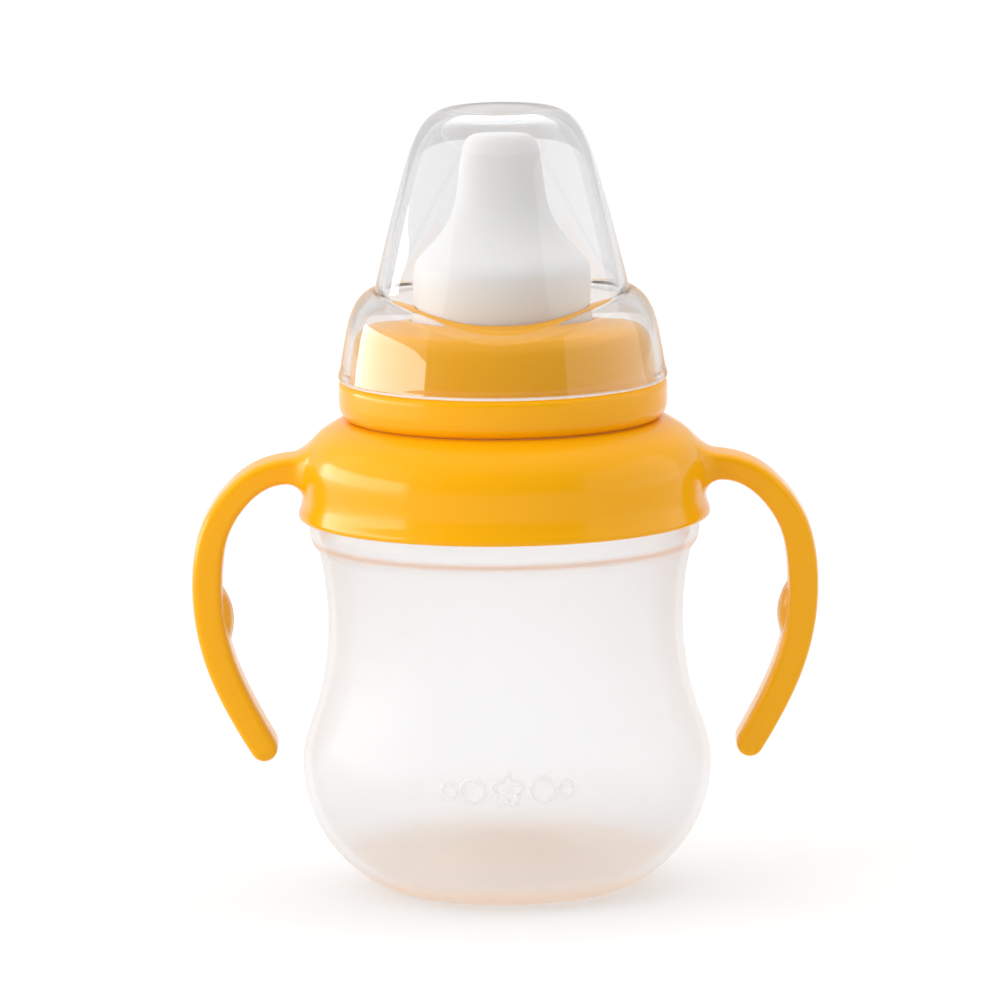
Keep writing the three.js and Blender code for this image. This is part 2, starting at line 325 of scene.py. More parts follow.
def add_thread(bm, radius, height, turns, start_turn, drop):
    """A helical rib on a wall. Its height is outwards if positive, and it fades at both ends."""
    rising = [(0, -1.25), (0.35, -1.0), (0.85, -0.6), (1, -0.35)]
    section = rising + [(x, -y) for x, y in reversed(rising)]
    sink = -0.05 * math.copysign(1, height)
    steps = int(turns * 72)
    rows = []
    for i in range(steps + 1):
        t = i / steps
        fade = min(1, min(t, 1 - t) / 0.08)
        fade = math.sin(fade * math.pi / 2) ** 0.5
        turn = start_turn + turns * t
        a = 2 * math.pi * turn
        row = []
        for x, y in section:
            r = radius + sink + x * (height - sink) * fade
            z = THREAD_Z - drop + THREAD_PITCH * turn + y
            row.append(Vector((r * math.cos(a), r * math.sin(a), z)))
        rows.append(row)
    skin(bm, rows, turn=False)


def cut_slot(obj, size, height):
    """Cuts a rounded slot down through a piece."""
    bm = bmesh.new()
    w, d, h = size
    outline = []
    for i in range(24):
        a = 2 * math.pi * i / 24
        x = math.copysign(w / 2 - d / 2, math.cos(a)) + d / 2 * math.cos(a)
        outline.append((x, d / 2 * math.sin(a)))
    rows = [[Vector((x, y, z)) for x, y in outline] for z in (height - h / 2, height + h / 2)]
    made = skin(bm, rows)
    bm.faces.new(made[0])
    bm.faces.new(made[1])
    cutter = finish_mesh("slot_cutter", bm)
    cut = obj.modifiers.new("slot", "BOOLEAN")
    cut.operation = "DIFFERENCE"
    cut.solver = "EXACT"
    cut.object = cutter
    depsgraph = bpy.context.evaluated_depsgraph_get()
    mesh = bpy.data.meshes.new_from_object(obj.evaluated_get(depsgraph))
    obj.modifiers.clear()
    obj.data = mesh
    mesh.shade_smooth()
    mesh.set_sharp_from_angle(angle=math.radians(45))
    bpy.data.objects.remove(cutter)


# ---------------------------------------------------------------------------------------------------------
# Materials
# ---------------------------------------------------------------------------------------------------------


def linear(code):
    """Linear RGB of an sRGB hex colour."""
    out = []
    for i in (1, 3, 5):
        c = int(code[i:i + 2], 16) / 255
        out.append(c / 12.92 if c <= 0.04045 else ((c + 0.055) / 1.055) ** 2.4)
    return tuple(out)


def add_node(tree, kind, settings=None, inputs=None, links=None):
    """Adds a shader node. settings are its own properties, inputs its socket values, and links the outputs
    that feed its sockets."""
    node = tree.nodes.new(kind)
    for key, value in (settings or {}).items():
        setattr(node, key, value)
    for key, value in (inputs or {}).items():
        node.inputs[key].default_value = value
    for key, source in (links or {}).items():
        tree.links.new(source, node.inputs[key])
    return node


def new_material(name):
    """An empty node material and its tree."""
    material = bpy.data.materials.new(name)
    material.use_nodes = True
    material.node_tree.nodes.clear()
    return material, material.node_tree


def flow_bump(tree, size_mm, depth_mm, strength):
    """Normal of the faint, slow waviness that a moulded wall has, with waves of one size."""
    where = add_node(tree, "ShaderNodeTexCoord")
    waves = add_node(
        tree, "ShaderNodeTexNoise",
        inputs={"Scale": 1 / (size_mm * MM), "Detail": 2.0, "Roughness": 0.45},
        links={"Vector": where.outputs["Object"]},
    )
    return add_node(
        tree, "ShaderNodeBump",
        inputs={"Strength": strength, "Distance": depth_mm * MM},
        links={"Height": waves.outputs["Fac"]},
    )


def yellow_abs(colours):
    # ABS, injection moulded in a polished tool: clean window-like highlights over a deep, even colour, with
    # a slow waviness of a few millimetres that makes the highlights' edges wander.
    material, tree = new_material("yellow_abs_polished_moulding")
    waves = flow_bump(tree, 9, 0.05, 0.25)
    where = add_node(tree, "ShaderNodeTexCoord")
    clouds = add_node(
        tree, "ShaderNodeTexNoise", inputs={"Scale": 1 / (22 * MM), "Detail": 1.0},
        links={"Vector": where.outputs["Object"]},
    )
    # The pigment flows a little unevenly in the mould, which shows as very soft darker clouds.
    tint = add_node(
        tree, "ShaderNodeMix", {"data_type": "RGBA"},
        links={"Factor": clouds.outputs["Fac"]},
    )
    tint.inputs["A"].default_value = (*colours.plastic, 1)
    tint.inputs["B"].default_value = (*(c * 0.97 for c in colours.plastic), 1)
    # Handling leaves the gloss slightly uneven.
    gloss = add_node(
        tree, "ShaderNodeMapRange", inputs={"To Min": 0.13, "To Max": 0.2},
        links={"Value": clouds.outputs["Fac"]},
    )
    shader = add_node(
        tree, "ShaderNodeBsdfPrincipled",
        inputs={"IOR": 1.5, "Specular IOR Level": 0.21},
        links={
            "Base Color": tint.outputs["Result"],
            "Roughness": gloss.outputs["Result"],
            "Normal": waves.outputs["Normal"],
        },
    )
    add_node(tree, "ShaderNodeOutputMaterial", links={"Surface": shader.outputs["BSDF"]})
    return material


def milky_polypropylene(colours):
    # Natural polypropylene, injection blow moulded: a milky wall that passes most of the light, glows
    # from inside, and veils what is behind it, with a waxy low gloss.
    material, tree = new_material("natural_polypropylene_blow_moulded")
    waves = flow_bump(tree, 14, 0.12, 0.2)
    where = add_node(tree, "ShaderNodeTexCoord")
    height = add_node(tree, "ShaderNodeSeparateXYZ", links={"Vector": where.outputs["Object"]})
    # The thick bottom gets a painted warm tone, which stands in for light bounced onto it from the yellow
    # lid above it.
    low = add_node(
        tree, "ShaderNodeMapRange", {"interpolation_type": "SMOOTHSTEP"},
        inputs={"From Min": 9 * MM, "From Max": 19 * MM, "To Min": 1.0, "To Max": 0.0},
        links={"Value": height.outputs["Z"]},
    )
    flat = add_node(
        tree, "ShaderNodeVectorMath", {"operation": "MULTIPLY"}, inputs={1: (1, 1, 0)},
        links={0: where.outputs["Object"]},
    )
    reach = add_node(
        tree, "ShaderNodeVectorMath", {"operation": "LENGTH"}, links={0: flat.outputs["Vector"]},
    )
    inner = add_node(
        tree, "ShaderNodeMapRange", {"interpolation_type": "SMOOTHSTEP"},
        inputs={"From Min": 28.5 * MM, "From Max": 34 * MM, "To Min": 1.0, "To Max": 0.25},
        links={"Value": reach.outputs["Value"]},
    )
    bottom = add_node(
        tree, "ShaderNodeMath", {"operation": "MULTIPLY"},
        links={0: low.outputs["Result"], 1: inner.outputs["Result"]},
    )
    # Mixes the painted warm bounce light into the colour of the base.
    base_bounce_tone = add_node(tree, "ShaderNodeMix", {"data_type": "RGBA"}, links={"Factor": bottom.outputs["Value"]})
    base_bounce_tone.inputs["A"].default_value = (*colours.body, 1)
    base_bounce_tone.inputs["B"].default_value = (*colours.body_base_bounce, 1)
    # A thin soft line of painted bounce light from the yellow collar, in the groove under the bead.
    off_groove = add_node(
        tree, "ShaderNodeMath", {"operation": "SUBTRACT"}, inputs={1: GROOVE_Z * MM},
        links={0: height.outputs["Z"]},
    )
    distance = add_node(
        tree, "ShaderNodeMath", {"operation": "ABSOLUTE"}, links={0: off_groove.outputs["Value"]},
    )
    groove_bounce = add_node(
        tree, "ShaderNodeMapRange", {"interpolation_type": "SMOOTHSTEP"},
        inputs={"From Min": 0.1 * MM, "From Max": 1.5 * MM, "To Min": 0.68, "To Max": 0.0},
        links={"Value": distance.outputs["Value"]},
    )
    shade = add_node(
        tree, "ShaderNodeMix", {"data_type": "RGBA"},
        links={"Factor": groove_bounce.outputs["Result"], "A": base_bounce_tone.outputs["Result"]},
    )
    shade.inputs["B"].default_value = (*colours.groove_bounce, 1)
    body = add_node(
        tree, "ShaderNodeBsdfPrincipled",
        inputs={"IOR": 1.49, "Roughness": 0.28, "Specular IOR Level": 0.4},
        links={"Base Color": shade.outputs["Result"], "Normal": waves.outputs["Normal"]},
    )
    glow = add_node(tree, "ShaderNodeBsdfTranslucent", links={"Color": shade.outputs["Result"]})
    wall = add_node(
        tree, "ShaderNodeMixShader", inputs={0: 0.5},
        links={1: body.outputs["BSDF"], 2: glow.outputs["BSDF"]},
    )
    clear = add_node(tree, "ShaderNodeBsdfTransparent", inputs={"Color": (0.99, 0.99, 0.992, 1)})
    # A wall seen edge on is a longer way through the plastic, so it looks denser.
    edge = add_node(tree, "ShaderNodeLayerWeight", inputs={"Blend": 0.35})
    dense = add_node(
        tree, "ShaderNodeMapRange", inputs={"To Min": 0.28, "To Max": 0.78},
        links={"Value": edge.outputs["Facing"]},
    )
    # The painted bounce line in the groove also makes the wall denser there.
    denser = add_node(
        tree, "ShaderNodeMath", {"operation": "MAXIMUM"},
        links={0: dense.outputs["Result"], 1: groove_bounce.outputs["Result"]},
    )
    # The raised ornament is thicker, so it passes less light.
    raised = add_node(tree, "ShaderNodeAttribute", {"attribute_name": "raised"})
    thicker = add_node(
        tree, "ShaderNodeMath", {"operation": "MULTIPLY_ADD"}, inputs={1: 0.3},
        links={0: raised.outputs["Fac"], 2: denser.outputs["Value"]},
    )
    thickest = add_node(
        tree, "ShaderNodeMath", {"operation": "MULTIPLY_ADD", "use_clamp": True}, inputs={1: 0.5},
        links={0: bottom.outputs["Value"], 2: thicker.outputs["Value"]},
    )
    # Light meets the plastic where it enters the wall. Where it leaves, the wall has already been counted.
    side = add_node(tree, "ShaderNodeNewGeometry")
    entering = add_node(
        tree, "ShaderNodeMath", {"operation": "SUBTRACT", "use_clamp": True},
        links={0: thickest.outputs["Value"], 1: side.outputs["Backfacing"]},
    )
    both = add_node(
        tree, "ShaderNodeMixShader",
        links={0: entering.outputs["Value"], 1: clear.outputs["BSDF"], 2: wall.outputs["Shader"]},
    )
    add_node(tree, "ShaderNodeOutputMaterial", links={"Surface": both.outputs["Shader"]})
    return material


def white_silicone(colours):
    # Liquid silicone rubber, injection moulded: opaque soft white with a satin skin and a little light
    # passing just under it, which softens the shading.
    material, tree = new_material("white_silicone_moulded")
    grain = flow_bump(tree, 1.2, 0.03, 0.3)
    where = add_node(tree, "ShaderNodeTexCoord")
    dust = add_node(
        tree, "ShaderNodeTexNoise", inputs={"Scale": 1 / (6 * MM), "Detail": 3.0},
        links={"Vector": where.outputs["Object"]},
    )
    # Silicone holds a fine bloom, so its gloss varies softly.
    sheen = add_node(
        tree, "ShaderNodeMapRange", inputs={"To Min": 0.42, "To Max": 0.56},
        links={"Value": dust.outputs["Fac"]},
    )
    shader = add_node(
        tree, "ShaderNodeBsdfPrincipled",
        inputs={
            "Base Color": (*colours.silicone, 1), "IOR": 1.41, "Specular IOR Level": 0.5,
            "Subsurface Weight": 0.25, "Subsurface Scale": 0.002,
        },
        links={"Roughness": sheen.outputs["Result"], "Normal": grain.outputs["Normal"]},
    )
    shader.inputs["Subsurface Radius"].default_value = (1.0, 0.85, 0.7)
    add_node(tree, "ShaderNodeOutputMaterial", links={"Surface": shader.outputs["BSDF"]})
    return material


def clear_copolyester(colours):
    # Clear copolyester, injection moulded in a polished tool: thin glass-like wall with bright window
    # highlights on both faces and grey rims where the wall is seen edge on.
    material, tree = new_material("clear_copolyester_polished_moulding")
    waves = flow_bump(tree, 12, 0.06, 0.2)
    shader = add_node(
        tree, "ShaderNodeBsdfPrincipled",
        inputs={
            "Base Color": (*colours.clear, 1), "IOR": 1.5, "Roughness": 0.03, "Transmission Weight": 1.0,
        },
        links={"Normal": waves.outputs["Normal"]},
    )
    # Lamps shine through the wall, so that what is under the hood is lit.
    path = add_node(tree, "ShaderNodeLightPath")
    lets_light = add_node(
        tree, "ShaderNodeMath", {"operation": "MAXIMUM"},
        links={0: path.outputs["Is Shadow Ray"], 1: path.outputs["Is Diffuse Ray"]},
    )
    clear = add_node(tree, "ShaderNodeBsdfTransparent", inputs={"Color": (0.95, 0.95, 0.95, 1)})
    # The resin has a trace of haze, which shows only where the wall is seen edge on: rims look pale grey.
    haze = add_node(tree, "ShaderNodeBsdfTranslucent", inputs={"Color": (0.86, 0.86, 0.87, 1)})
    edge = add_node(tree, "ShaderNodeLayerWeight", inputs={"Blend": 0.5})
    hazy = add_node(
        tree, "ShaderNodeMapRange", {"interpolation_type": "SMOOTHSTEP"},
        inputs={"From Min": 0.55, "From Max": 1.0, "To Min": 0.0, "To Max": 0.7},
        links={"Value": edge.outputs["Facing"]},
    )
    # The rim's edge is left matt where the tool parts, so it shows as a thin pale line.
    where = add_node(tree, "ShaderNodeTexCoord")
    height = add_node(tree, "ShaderNodeSeparateXYZ", links={"Vector": where.outputs["Object"]})
    rim = add_node(
        tree, "ShaderNodeMapRange", {"interpolation_type": "SMOOTHSTEP"},
        inputs={"From Min": 102.9 * MM, "From Max": 103.4 * MM, "To Min": 0.85, "To Max": 0.0},
        links={"Value": height.outputs["Z"]},
    )
    matt = add_node(tree, "ShaderNodeBsdfDiffuse", inputs={"Color": (0.92, 0.92, 0.92, 1)})
    polished = add_node(
        tree, "ShaderNodeMixShader",
        links={0: hazy.outputs["Result"], 1: shader.outputs["BSDF"], 2: haze.outputs["BSDF"]},
    )
    wall = add_node(
        tree, "ShaderNodeMixShader",
        links={0: rim.outputs["Result"], 1: polished.outputs["Shader"], 2: matt.outputs["BSDF"]},
    )
    both = add_node(
        tree, "ShaderNodeMixShader",
        links={0: lets_light.outputs["Value"], 1: wall.outputs["Shader"], 2: clear.outputs["BSDF"]},
    )
    add_node(tree, "ShaderNodeOutputMaterial", links={"Surface": both.outputs["Shader"]})
    return material


def studio_floor():
    # Opal acrylic sheet, matt and lit from below: no pattern or gloss, so only the contact shadow shows.
    material, tree = new_material("opal_acrylic_backlit")
    shader = add_node(
        tree, "ShaderNodeBsdfPrincipled",
        inputs={"Base Color": (0.55, 0.55, 0.55, 1), "Roughness": 0.9, "Specular IOR Level": 0.0,
                "Emission Color": (1, 1, 1, 1), "Emission Strength": 0.37},
    )
    add_node(tree, "ShaderNodeOutputMaterial", links={"Surface": shader.outputs["BSDF"]})
    return material


# ---------------------------------------------------------------------------------------------------------
# Settings
# ---------------------------------------------------------------------------------------------------------


class CupColours(bpy.types.PropertyGroup):
    """Colours of the training cup's mouldings."""

    plastic: FloatVectorProperty(
        name="Collar and cap", description="Colour of the opaque plastic of the collar, handles and cap",
        subtype="COLOR", size=3, min=0, max=1, default=linear("#fcb107"),
    )
    body: FloatVectorProperty(
        name="Cup body", description="Colour of the milky plastic of the cup body",
        subtype="COLOR", size=3, min=0, max=1, default=linear("#f8fafc"),
    )
    # Painted warm bounce light from the yellow lid, mixed into the colour of the thick base.
    body_base_bounce: FloatVectorProperty(
        name="Cup base", description="Warmer colour of the milky plastic in the thick base",
        subtype="COLOR", size=3, min=0, max=1, default=linear("#fdebdb"),
    )
    # Painted warm bounce light from the yellow collar, which tints the groove under the bead.
    groove_bounce: FloatVectorProperty(
        name="Cup groove", description="Warm colour in the groove under the cup's bead",
        subtype="COLOR", size=3, min=0, max=1, default=linear("#f9b671"),
    )
    silicone: FloatVectorProperty(
        name="Silicone", description="Colour of the spout, the valve and the neck gasket",
        subtype="COLOR", size=3, min=0, max=1, default=linear("#f7f5f2"),
    )
    clear: FloatVectorProperty(
        name="Hood", description="Tint of the clear hood",
        subtype="COLOR", size=3, min=0, max=1, default=linear("#f3f3f4"),
    )


class CupSizes(bpy.types.PropertyGroup):
    """Sizes that don't change the fit of the pieces."""

    strap_depth: FloatProperty(
        name="Strap depth", description="Width of each handle's strap from front to back",
        subtype="DISTANCE", unit="LENGTH", min=0.008, max=0.016, default=0.012,
    )
    dome_oval: FloatProperty(
        name="Dome oval", description="Length of the hood's dome from front to back over its width",
        min=1.0, max=1.14, default=1.105,
    )
    tip_flatness: FloatProperty(
        name="Tip flatness", description="Depth of the spout's tip over its width",
        min=0.5, max=1.0, default=0.64,
    )


# ---------------------------------------------------------------------------------------------------------
# Pieces
# ---------------------------------------------------------------------------------------------------------


def ornament_rise(u, v):
    """Height in mm of the raised ornament at a point of the belly, u round the cup and v up it."""
    best = 0.0
    for centre, size, petals in ORNAMENT:
        x, y = u - centre, v
        d = math.hypot(x, y)
        edge = size
        if petals:
            edge *= 0.84 + 0.16 * math.cos(petals * (math.atan2(y, x) - math.pi / 2))
        off = abs(d - edge) / ORNAMENT_LINE
        if petals:
            off = min(off, d / (ORNAMENT_LINE * 2.2))
        best = max(best, smoothstep(1.6 - off))
    return best * ORNAMENT_RISE


class CUP_OT_body(bpy.types.Operator):
    """Build the milky cup body with its neck thread and raised ornament"""

    bl_idname = "training_cup.body"
    bl_label = "Cup body"

    def execute(self, context):
        span = ORNAMENT_SPAN
        fine = [FRONT - span + 2 * span * i / 104 for i in range(104)]
        rest = [FRONT + span + (2 * math.pi - 2 * span) * i / 120 for i in range(120)]
        angles = fine + rest
        outside = profile(CUP_OUTSIDE, 0.8)
        belly = [p for p in outside if abs(p[1] - ORNAMENT_Z) < ORNAMENT_BAND and p[0] > 38]
        first, last = outside.index(belly[0]), outside.index(belly[-1])
        dense = smooth_run(belly, 0.28)
        outside = outside[:first] + dense + outside[last + 1:]

        def place(p):
            a = math.atan2(p.y, p.x) - FRONT
            if abs(a) > span or abs(p.z - ORNAMENT_Z) > ORNAMENT_BAND:
                return p
            rise = ornament_rise(a * BELLY_RADIUS, p.z - ORNAMENT_Z)
            return p + Vector((p.x, p.y, 0)).normalized() * rise

        bm = bmesh.new()
        rings = [ring(r, z, angles, place) for r, z in outside]
        rings += [ring(r, z, angles) for r, z in profile(CUP_INSIDE, 1.0)[1:]]
        skin(bm, rings)
        add_thread(bm, radius=27.2, height=1.2, turns=1.4, start_turn=0, drop=0)
        obj = finish_mesh("milky_cup_body", bm)
        raised = obj.data.attributes.new("raised", "FLOAT", "POINT")
        for vertex, value in zip(obj.data.vertices, raised.data):
            x, y, z = vertex.co / MM
            a = math.atan2(y, x) - FRONT
            if abs(a) < span and abs(z - ORNAMENT_Z) < ORNAMENT_BAND and math.hypot(x, y) > 40:
                value.value = ornament_rise(a * BELLY_RADIUS, z - ORNAMENT_Z) / ORNAMENT_RISE
        place_piece(obj, milky_polypropylene(context.scene.cup_colours), "cup", "cup_body")
        return {"FINISHED"}


def strap_stations():
    """Centre, half thickness, direction and distance along of each section of the right strap."""
    line = smooth_run(STRAP_LINE, 0.55)
    out = []
    along = 0.0
    for i, (x, z, half) in enumerate(line):
        a, b = line[max(i - 1, 0)], line[min(i + 1, len(line) - 1)]
        direction = Vector((b[0] - a[0], 0, b[1] - a[1])).normalized()
        if i:
            along += math.hypot(x - line[i - 1][0], z - line[i - 1][1])
        out.append((Vector((x, 0, z)), half, direction, along))
    return out


def strap_section(half, depth, count=72):
    """Points (across, y) of the strap's rounded section. across is positive on the outer side."""
    power = 2 / STRAP_SQUARENESS
    out = []
    for i in range(count):
        a = 2 * math.pi * i / count
        c, s = math.cos(a), math.sin(a)
        out.append((
            math.copysign(abs(s) ** power, s) * half,
            math.copysign(abs(c) ** power, c) * depth,
        ))
    return out


def strap_rings(depth, wall):
    """Rings of the right strap from inside the collar's wall to the tip. wall gives the collar's radius."""
    stations = strap_stations()
    centre, half, _, _ = stations[0]
    shift = centre.x - ROOT_FILLET - wall(centre.z)
    rows = []
    for k in range(END_ROWS + 1):
        t = k / END_ROWS * math.pi / 2
        out = ROOT_FILLET * (1 - math.cos(t))
        grow = ROOT_FILLET * (1 - math.sin(t))
        row = []
        for across, y in strap_section(half + grow, depth + grow):
            z = centre.z + across
            r = wall(z)
            x = math.sqrt(r * r - y * y)
            row.append(Vector((x - ROOT_SINK + out + shift * (k / END_ROWS), y, z)))
        rows.append(row)
    rows.insert(0, [p - Vector((ROOT_DEPTH, 0, 0)) for p in rows[0]])
    # The fillet's last section still follows the collar's round wall. The next few even it out.
    bend = rows[-1]
    flat = [Vector((centre.x, p.y, p.z)) for p in bend]
    lag = [b.x - f.x for b, f in zip(bend, flat)]
    for middle, half, direction, along in stations[1:]:
        normal = Vector((-direction.z, 0, direction.x))
        keep = max(0.0, 1 - along / ROOT_BEND) ** 2
        row = []
        for i, (across, y) in enumerate(strap_section(half, depth)):
            row.append(middle + normal * across + Vector((lag[i] * keep, y, 0)))
        rows.append(row)
    add_pad(rows, stations)
    middle, half, direction, _ = stations[-1]
    normal = Vector((-direction.z, 0, direction.x))
    for k in range(1, END_ROWS + 1):
        t = k / END_ROWS * math.pi / 2 * 0.985
        shrink = math.cos(t)
        row = []
        for across, y in strap_section(half * shrink, depth - TIP_NARROWING * (1 - shrink)):
            row.append(middle + direction * (half * math.sin(t)) + normal * across + Vector((0, y, 0)))
        rows.append(row)
    return rows


def add_pad(rows, stations):
    """Raises the oval grip pad on the strap's inner face."""
    base = len(rows) - len(stations) + 1
    near = min(stations, key=lambda s: abs(s[0].z - PAD_HEIGHT))
    for k, (middle, half, direction, along) in enumerate(stations[1:]):
        normal = Vector((-direction.z, 0, direction.x))
        for p in rows[base + k]:
            if (p - middle).dot(normal) > -half * 0.5:
                continue
            q = ((along - near[3]) / PAD_LENGTH) ** 2 + (p.y / PAD_WIDTH) ** 2
            if q < 1:
                p -= normal * (PAD_RISE * (1 - q))


class CUP_OT_handle_ring(bpy.types.Operator):
    """Build the collar and its two open handles as one moulding"""

    bl_idname = "training_cup.handle_ring"
    bl_label = "Handle ring"

    def execute(self, context):
        outside = profile(COLLAR_OUTSIDE, 0.5)
        inside = profile(COLLAR_INSIDE, 0.8)
        bm = bmesh.new()
        angles = even_angles(200)
        skin(bm, [ring(r, z, angles) for r, z in outside + inside[1:-1]], loop=True)
        depth = context.scene.cup_sizes.strap_depth / MM / 2
        rows = strap_rings(depth, lambda z: radius_at(outside[6:], z))
        for side in (1, -1):
            made = skin(bm, [[Vector((p.x * side, p.y, p.z)) for p in row] for row in rows])
            bm.faces.new(made[0])
            bm.faces.new(made[-1])
        obj = finish_mesh("yellow_handle_ring", bm)
        place_piece(obj, yellow_material(context), "handles", "handle_ring")
        return {"FINISHED"}


def yellow_material(context):
    """The one yellow plastic of the collar and the cap."""
    found = bpy.data.materials.get("yellow_abs_polished_moulding")
    return found or yellow_abs(context.scene.cup_colours)


def silicone_material(context):
    """The one silicone of the spout, the valve and the gasket."""
    found = bpy.data.materials.get("white_silicone_moulded")
    return found or white_silicone(context.scene.cup_colours)


class CUP_OT_screw_cap(bpy.types.Operator):
    """Build the screw cap with the thread inside it"""

    bl_idname = "training_cup.screw_cap"
    bl_label = "Screw cap"

    def execute(self, context):
        bm = bmesh.new()
        path = profile(CAP_OUTSIDE, 0.5) + profile(CAP_INSIDE, 0.7)[1:-1]
        angles = even_angles(180)
        skin(bm, [ring(r, z, angles) for r, z in path], loop=True)
        add_thread(bm, radius=28.5, height=-0.9, turns=1.35, start_turn=0.58, drop=2.2)
        obj = finish_mesh("yellow_screw_cap", bm)
        place_piece(obj, yellow_material(context), "cap", "screw_cap")
        return {"FINISHED"}


class CUP_OT_gasket(bpy.types.Operator):
    """Build the gasket that seals the cap on the cup's rim"""

    bl_idname = "training_cup.gasket"
    bl_label = "Neck gasket"

    def execute(self, context):
        bm = bmesh.new()
        angles = even_angles(120)
        skin(bm, [ring(r, z, angles) for r, z in profile(GASKET, 0.3)[:-1]], loop=True)
        obj = finish_mesh("silicone_neck_gasket", bm)
        place_piece(obj, silicone_material(context), "seal", "neck_gasket")
        return {"FINISHED"}


class CUP_OT_spout(bpy.types.Operator):
    """Build the soft spout with its flat tip and drinking slot"""

    bl_idname = "training_cup.spout"
    bl_label = "Spout"

    def execute(self, context):
        flat = context.scene.cup_sizes.tip_flatness

        def squeeze(share):
            def place(p):
                t = smoothstep((p.z - TIP_START) / (TIP_FULL - TIP_START))
                return Vector((p.x, p.y * (1 + (share - 1) * t), p.z))
            return place

        angles = even_angles(120)
        bm = bmesh.new()
        rings = [ring(r, z, angles, squeeze(flat)) for r, z in profile(SPOUT_OUTSIDE, 0.6)]
        rings += [ring(r, z, angles, squeeze(flat - 0.09)) for r, z in profile(SPOUT_INSIDE, 0.8)[1:]]
        skin(bm, rings)
        obj = finish_mesh("silicone_spout", bm)
        cut_slot(obj, SPOUT_SLOT, SPOUT_SLOT_Z)
        place_piece(obj, silicone_material(context), "soft_spout", "spout")
        return {"FINISHED"}


class CUP_OT_valve(bpy.types.Operator):
    """Build the slit valve that plugs into the spout's base"""

    bl_idname = "training_cup.valve"
    bl_label = "Spout valve"

    def execute(self, context):
        angles = even_angles(96)
        bm = bmesh.new()
        path = profile(VALVE_OUTSIDE, 0.5) + profile(VALVE_INSIDE, 0.7)[1:]
        skin(bm, [ring(r, z, angles) for r, z in path])
        obj = finish_mesh("silicone_spout_valve", bm)
        cut_slot(obj, VALVE_SLIT, VALVE_SLIT_Z)
        place_piece(obj, silicone_material(context), "valve", "spout_valve")
        return {"FINISHED"}


def hood_side(skirt, dome, top, oval, drop, angle, low_steps, high_steps):
    """Points (radius, z) of the hood's wall at one angle: up the skirt, over the crease and up the dome."""
    stretch = oval / math.sqrt((oval * math.cos(angle)) ** 2 + math.sin(angle) ** 2)
    wide = [Vector((r * stretch, z)) for r, z in dome]
    # The crease is highest at the dome's narrow sides and dips at its front and back, where the shoulder is
    # only as wide as its rounding.
    front = math.sin(angle) ** 8
    source = CREASE_HIGH - drop - CREASE_SAG * math.sin(angle) ** 2 - CREASE_FRONT_SAG * front
    z = source - CREASE_FRONT_DROP * front
    crease = Vector((radius_at(skirt, source), z))
    gap = crease.x - radius_at(wide, z)
    squash = (z - SHOULDER_Z) / (source - SHOULDER_Z)
    low = [p if p.y < SHOULDER_Z else Vector((p.x, SHOULDER_Z + (p.y - SHOULDER_Z) * squash))
           for p in skirt if p.y < source - 0.05] + [crease]
    high = [crease] + [
        Vector((p.x + gap * math.exp((z - p.y) / CREASE_BLEND), p.y)) for p in wide if p.y > z + 0.05
    ]
    out = respace(low, low_steps) + respace(high, high_steps)[1:]
    # A small radius in the crease.
    for k in range(low_steps - 1, low_steps + 2):
        out[k] = (out[k - 1] + out[k] * 2 + out[k + 1]) / 4
    cap = [Vector((r * stretch, z)) for r, z in top]
    return out + cap[1:]


def add_lip(side, angle):
    """Swells the hood's rim into a wavy grip lip at each of its two narrow sides."""
    off = abs(math.cos(angle))
    share = smoothstep((off - 0.62) / 0.14) * (0.72 + 0.28 * math.cos(LIP_WAVES * angle))
    for p in side:
        t = (LIP_TOP - p.y) / (LIP_TOP - RIM_Z)
        if 0 < t < 1:
            p.x += LIP_RISE * share * math.sin(math.pi * t)


class CUP_OT_hood(bpy.types.Operator):
    """Build the clear hood: a round skirt that turns into an oval dome"""

    bl_idname = "training_cup.hood"
    bl_label = "Hood"

    def execute(self, context):
        oval = context.scene.cup_sizes.dome_oval
        angles = even_angles(192)
        walls = []
        for skirt, dome, top, share, drop in (
            (SKIRT_OUTSIDE, DOME_OUTSIDE, HOOD_TOP_OUTSIDE, oval, 0),
            (SKIRT_INSIDE, DOME_INSIDE, HOOD_TOP_INSIDE, oval + HOOD_INNER_OVAL, HOOD_INNER_DROP),
        ):
            skirt = smooth_run(skirt, 0.3)
            dome = smooth_run(dome, 0.4)
            top = smooth_run(top, 0.6)
            sides = [hood_side(skirt, dome, top, share, drop, a, *HOOD_STEPS) for a in angles]
            if not drop:
                for side, a in zip(sides, angles):
                    add_lip(side, a)
            rings = []
            for k in range(len(sides[0])):
                if sides[0][k].x < 1e-3:
                    rings.append([Vector((0, 0, sides[0][k].y))])
                    continue
                rings.append([
                    Vector((side[k].x * math.cos(a), side[k].x * math.sin(a), side[k].y))
                    for side, a in zip(sides, angles)
                ])
            walls.append(rings)
        bm = bmesh.new()
        skin(bm, walls[0][::-1] + walls[1][1:])
        obj = finish_mesh("clear_oval_hood", bm)
        place_piece(obj, clear_copolyester(context.scene.cup_colours), "clear_hood", "hood")
        return {"FINISHED"}


# ---------------------------------------------------------------------------------------------------------
# Studio
# ---------------------------------------------------------------------------------------------------------

TILT = math.radians(9.0)
ROLL = math.radians(0.65)
AIM = Vector((-0.00086, 0, 0.078))
DISTANCE = 1.8
FRAME_WIDTH = 0.2  # what the camera sees from side to side at the cup
FLOOR_REACH = 60.0
LEFT_WINDOW_X = -0.45
LEFT_WINDOW_WIDTH = 0.63
# Name, lower edge, upper edge and radiance of the windows on the left, which stand one above the other.
# The sloping dome mirrors the high one, and the upright band and collar mirror the bright one.
LEFT_WINDOWS = (
    ("left_window_low", 0.03, 0.06, 1.5),
    ("left_window", 0.06, 0.205, 6.5),
    ("left_window_high", 0.205, 0.5, 0.8),
)


